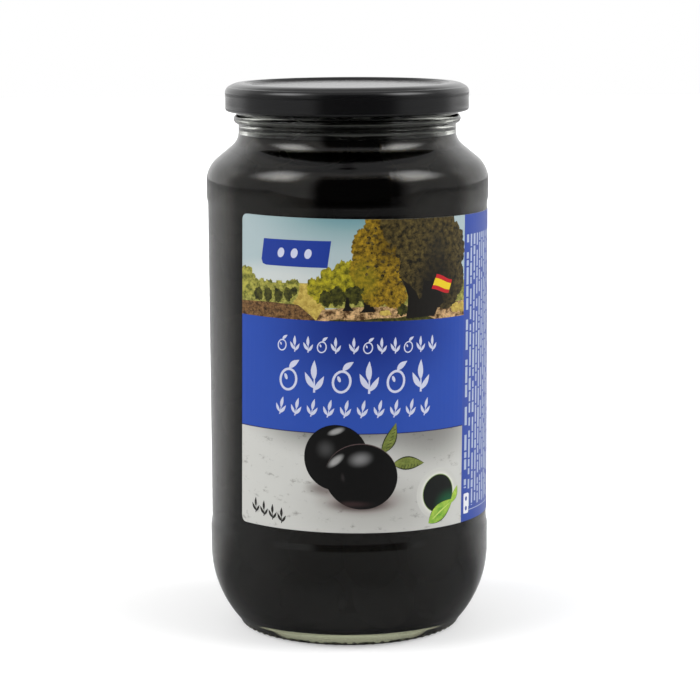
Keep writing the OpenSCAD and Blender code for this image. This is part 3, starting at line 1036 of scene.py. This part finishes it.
def plain_ink(name, tint, spots=()):
    """An ink of one tint."""
    colour = tint_of(*tint)
    return spotted(new_material(name, Base_Color=colour, **ink_finish), colour, spots)


def grained_ink(name, dark, light, scale, low, high, stretch=(1, 1, 1), spots=()):
    """An ink of two tints, mottled."""
    ink = new_material(name, **ink_finish)
    grain = add_node(ink[1], "ShaderNodeGroup", {
        "Dark": tint_of(*dark), "Light": tint_of(*light), "Scale": scale, "Low": low, "High": high,
        "Stretch": stretch}, node_tree=grain_group)
    return spotted(ink, grain.outputs["Colour"], spots)


paints = {}
for name, tint in {
    "pale": (200, 204, 224), "white": (228, 228, 234), "red": (190, 28, 36), "yellow": (230, 200, 30),
    "trunk": (24, 21, 17), "blue_flat": (26, 56, 148), "blue_line": (30, 32, 84),
    "blue_side": (44, 72, 160), "small_print": (172, 184, 206), "leaf_rim": (44, 50, 22),
    "leaf_vein": (196, 214, 110), "olive_rim": (86, 70, 70), "badge_rim": (128, 156, 84),
    "dark_ink": (34, 32, 30), "paper_back": (216, 216, 210),
}.items():
    paints[name] = plain_ink(name, tint)
for name, dark, light, scale, low, high in (
    ("grove_far", (84, 88, 28), (176, 172, 84), 60, 0.40, 0.60),
    ("leaf_light", (74, 80, 24), (180, 174, 76), 55, 0.40, 0.60),
    ("leaf_deep", (24, 26, 8), (86, 86, 28), 60, 0.40, 0.62),
    ("leaf_bright", (70, 70, 4), (184, 172, 30), 58, 0.38, 0.62),
    ("straw", (150, 122, 46), (206, 182, 88), 60, 0.38, 0.62),
    ("field", (42, 26, 10), (140, 102, 60), 90, 0.40, 0.60),
    ("sand", (70, 44, 18), (222, 182, 128), 40, 0.42, 0.60),
    ("leaf_green", (82, 96, 34), (132, 142, 66), 60, 0.35, 0.65),
    ("leaf_fresh", (52, 140, 34), (196, 218, 84), 7, 0.38, 0.60),
):
    paints[name] = grained_ink(name, dark, light, scale, low, high)
paints["leaf_gold"] = grained_ink("leaf_gold", (24, 16, 0), (178, 142, 24), 62, 0.39, 0.63, spots=[
    ((44, 32, 8), 13, 43, 8, 11, 0.1, 0, 0.6), ((130, 126, 14), 4, 31, 8, 9, 0.2, 0, 0.45)])
paints["leaf_dark"] = grained_ink("leaf_dark", (14, 12, 6), (112, 96, 48), 64, 0.41, 0.68, spots=[
    ((24, 21, 16), 30, 30, 13, 14, 0.2, 0, 0.85), ((34, 32, 26), 30, 41, 7, 9, 0, 0, 0.6)])
paints["stone"] = grained_ink("stone", (108, 106, 100), (199, 199, 194), 34, 0.28, 0.43, (0.6, 1, 1), [
    ((44, 43, 39), -4, -13, 38, 15, 0.1, 0, 0.9), ((84, 82, 78), 28, -17, 28, 17, 0.1, 0, 0.7),
    ((140, 138, 133), 10, -42, 36, 18, 0.0, 0, 0.5), ((112, 94, 90), 5, -39.8, 18, 6.0, 0.2, 0, 0.8),
    ((60, 42, 40), 4.4, -41.2, 13.0, 2.8, 0.15, 0, 0.9), ((100, 86, 82), -7.5, -36.0, 8, 3.6, 0.1, 0, 0.8)])
for name, tint, spots in (
    ("blue", (35, 73, 168), [((8, 36, 122), 6, 17, 42, 30, 0.0, 0, 1.0)]),
    ("sky", (169, 186, 189), [
        ((120, 158, 162), 2, 54, 44, 17, 0.15, 0, 1.0), ((98, 142, 152), 0, 54, 26, 9, 0.1, 0, 0.8),
        ((198, 204, 202), -22, 30, 30, 8, 0.2, 0, 1.0)]),
    ("badge_glow", (196, 196, 190), [((216, 216, 206), badge_u, badge_v, 7.8, 7.6, 0.80, 0, 1.0)]),
    ("badge", (20, 23, 21), [((18, 88, 54), 36.4, -43.0, 7.4, 6.2, 0.15, 0, 1.0)]),
    ("olive_ink", (14, 13, 13), [
        ((64, 64, 64), -6.9, -23.1, 4.0, 4.0, 0.0, 0, 1.0),
        ((120, 120, 120), 4.2, -26.2, 5.0, 3.2, 0.0, 10, 1.0),
        ((150, 150, 148), -3.6, -17.3, 3.4, 1.3, 0.3, 20, 1.0),
        ((150, 150, 148), -3.6, -26.8, 3.8, 1.6, 0.3, 40, 1.0),
        ((54, 38, 38), 1.6, -40.8, 9.0, 1.5, 0.0, 0, 1.0),
        ((46, 42, 42), -1.3, -32.2, 0.9, 2.0, 0.0, 10, 1.0)]),
):
    paints[name] = plain_ink(name, tint, spots)
for name in inks + ["paper_back"]:
    paper_mesh.materials.append(paints[name])
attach(label, "root")
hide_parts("label")

# ---------------------------------------------------------------------------------------------
# The studio: a pale floor, a world that lights by direction, two softboxes at the sides and a
# weak one in front, and a camera in front that looks a little down on the jar.
scene = bpy.context.scene
scene.view_settings.view_transform = "Standard"
floor_front, floor_back, floor_side = -1.1, 3.2, 3.0
floor_mesh = bpy.data.meshes.new("floor")
floor_mesh.from_pydata([(-floor_side, floor_front, 0), (floor_side, floor_front, 0),
                        (floor_side, floor_back, 0), (-floor_side, floor_back, 0)], [], [(0, 1, 2, 3)])
floor = added("floor", floor_mesh)


def sums(tree):
    """Makers of nodes for one tree."""
    def sum_of(kind, a, b=None):
        """Plain arithmetic with one value or two."""
        feeds = {0: a} if b is None else {0: a, 1: b}
        return add_node(tree, "ShaderNodeMath", feeds, operation=kind).outputs[0]

    def rising(value, low, high):
        """0 up to low, 1 from high on, and a smooth rise between them."""
        return add_node(tree, "ShaderNodeMapRange", {"Value": value, "From Min": low, "From Max": high},
                        interpolation_type="SMOOTHSTEP").outputs["Result"]

    def blend(level, to, mask):
        """The first level where the mask is 0 and the second where it is 1."""
        return sum_of("ADD", level, sum_of("MULTIPLY", mask, sum_of("SUBTRACT", to, level)))

    return sum_of, rising, blend


def paint_floor(floor_material, tree, shader):
    """Pale where it is seen, under a painted glow that is weaker near the jar, so it is darker there;
    where the jar mirrors it or shows it through the glass, its tone by direction is painted shade
    and painted reflection; nothing from below."""
    sum_of, rising, blend = sums(tree)
    seen = add_node(tree, "ShaderNodeLightPath")
    place = add_node(tree, "ShaderNodeTexCoord")
    distance = add_node(tree, "ShaderNodeVectorMath", {0: place.outputs["Object"]}, operation="LENGTH")
    split = add_node(tree, "ShaderNodeSeparateXYZ", {0: place.outputs["Object"]})
    to_camera, away = seen.outputs["Is Camera Ray"], distance.outputs["Value"]

    # painted shade and painted reflection: the floor's tone by direction from the jar, for rays that the glass
    # mirrors, dark in front, grey beside and paler behind
    round_by = sum_of("ARCTAN2", sum_of("ABSOLUTE", split.outputs["X"]),
                      sum_of("MULTIPLY", split.outputs["Y"], -1))
    beside = rising(round_by, radians(25), radians(80))
    behind = rising(round_by, radians(95), radians(125))
    back_painted_shade = blend(0.85, 0.05, rising(round_by, radians(142), radians(158)))
    front_painted_shade = blend(blend(0.22, 0.15, rising(away, 0.04, 0.12)), 0.0, rising(away, 0.5, 0.9))

    mirrored = sum_of("MULTIPLY", sum_of("SUBTRACT", 1, to_camera),
                      sum_of("SUBTRACT", 1, seen.outputs["Is Diffuse Ray"]))
    # for the camera a darker base colour, which the painted glow below lifts
    pale = blend(0.86, 0.70, to_camera)
    pale = blend(pale, blend(blend(front_painted_shade, 0.25, beside), 0.62, behind), mirrored)
    # painted light where the floor is seen through the glass: a tone of 0.6 right under the foot, painted
    # shade in front and straight behind
    painted_through_glass = blend(0.6, blend(0.15, back_painted_shade, behind), rising(away, 0.036, 0.042))
    pale = blend(pale, painted_through_glass, sum_of("GREATER_THAN", seen.outputs["Transmission Depth"], 2.5))
    feed(tree, shader.inputs["Base Color"], pale)
    # painted glow for the camera: the floor shines more away from the jar, so it shows white far off and is
    # darker near the jar, where its real shadow shows
    lift = sum_of("ADD", 0.35, sum_of("MULTIPLY", 0.75, rising(away, 0.045, 0.25)))
    feed(tree, shader.inputs["Emission Strength"], sum_of("MULTIPLY", lift, to_camera))

    side = add_node(tree, "ShaderNodeNewGeometry")
    gone = add_node(tree, "ShaderNodeBsdfTransparent")
    either = add_node(tree, "ShaderNodeMixShader",
                      {0: side.outputs["Backfacing"], 1: shader.outputs[0], 2: gone.outputs[0]})
    feed(tree, tree.nodes["Material Output"].inputs["Surface"], either.outputs[0])
    floor_mesh.materials.append(floor_material)


paint_floor(*new_material("floor", Roughness=0.6, Specular_IOR_Level=0.1, Emission_Color=(1, 1, 1, 1)))


def studio_world():
    """Soft light by direction: pale behind and grey at the sides, a bright box high on each side,
    dark in front and overhead; plain white where it is seen."""
    world = bpy.data.worlds.new("studio")
    world.use_nodes = True
    tree = world.node_tree
    sum_of, rising, blend = sums(tree)
    where = add_node(tree, "ShaderNodeTexCoord")
    path = add_node(tree, "ShaderNodeLightPath")
    split = add_node(tree, "ShaderNodeSeparateXYZ", {0: where.outputs["Generated"]})
    side = sum_of("ARCTAN2", split.outputs["X"], sum_of("MULTIPLY", split.outputs["Y"], -1))
    height = sum_of("ARCSINE", split.outputs["Z"])
    round_by = sum_of("ABSOLUTE", side)

    def rise(value, a, b):
        """A smooth rise between two angles in degrees."""
        return rising(value, radians(a), radians(b))

    def band(value, a, b, c, d):
        """A rise from a to b and a fall from c to d."""
        return sum_of("MULTIPLY", rise(value, a, b), sum_of("SUBTRACT", 1, rise(value, c, d)))

    level = blend(0.37, blend(0.95, 0.36, rise(height, 24, 44)), rise(round_by, 102, 122))
    straight_on = sum_of("MULTIPLY", rise(round_by, 142, 158),
                         sum_of("GREATER_THAN", path.outputs["Transmission Depth"], 2.5))
    level = blend(level, 0.04, straight_on)
    front = sum_of("MULTIPLY", band(side, -36, -22, 40, 58), sum_of("SUBTRACT", 1, rise(height, 48, 62)))
    level = blend(level, 0.02, front)
    boxes = sum_of("MULTIPLY", band(round_by, 42, 66, 78, 104), band(height, 22, 42, 50, 68))
    level = blend(level, 4.0, boxes)
    level = blend(level, 0.01, rise(height, 84, 88))

    lit = tree.nodes["Background"]
    feed(tree, lit.inputs["Color"], level)
    white = add_node(tree, "ShaderNodeBackground", {"Color": (1, 1, 1, 1)})
    pick = add_node(tree, "ShaderNodeMixShader",
                    {0: path.outputs["Is Camera Ray"], 1: lit.outputs[0], 2: white.outputs[0]})
    feed(tree, tree.nodes["World Output"].inputs["Surface"], pick.outputs[0])
    return world


scene.world = studio_world()
jar_middle = Vector((0, 0, 0.09))


def softbox(name, turn, rise, far, wide, tall, level):
    """A soft light at an azimuth from the camera's side and an elevation, aimed at the jar. Its
    mirror image comes from the world, so no gloss and no glass shows the lamp itself."""
    light = bpy.data.lights.new(name, "AREA")
    light.shape = "RECTANGLE"
    light.size, light.size_y = wide, tall
    light.energy = level * 4 * wide * tall
    lamp = added(name, light)
    a, b = radians(turn), radians(rise)
    away = Vector((sin(a) * cos(b), -cos(a) * cos(b), sin(b)))
    lamp.location = jar_middle + away * far
    lamp.rotation_euler = away.to_track_quat("Z", "Y").to_euler()
    lamp.visible_camera = False
    lamp.visible_glossy = False
    lamp.visible_transmission = False


softbox("left_softbox", -70, 42, 1.3, 1.1, 0.7, 2.3)
softbox("right_softbox", 70, 42, 1.3, 1.1, 0.7, 2.3)
softbox("front_fill", 5, 38, 1.6, 1.4, 1.0, 0.6)

camera_place = Vector((0.00056, -0.806, 0.2202))
looks_down, leans = radians(9.05), radians(-0.28)
camera_data = bpy.data.cameras.new("camera")
camera_data.sensor_width = 36
camera_data.lens = 125.75
camera = added("camera", camera_data)
camera.matrix_world = (Matrix.Translation(camera_place) @ Matrix.Rotation(pi / 2 - looks_down, 4, "X")
                       @ Matrix.Rotation(leans, 4, "Z"))
scene.camera = camera
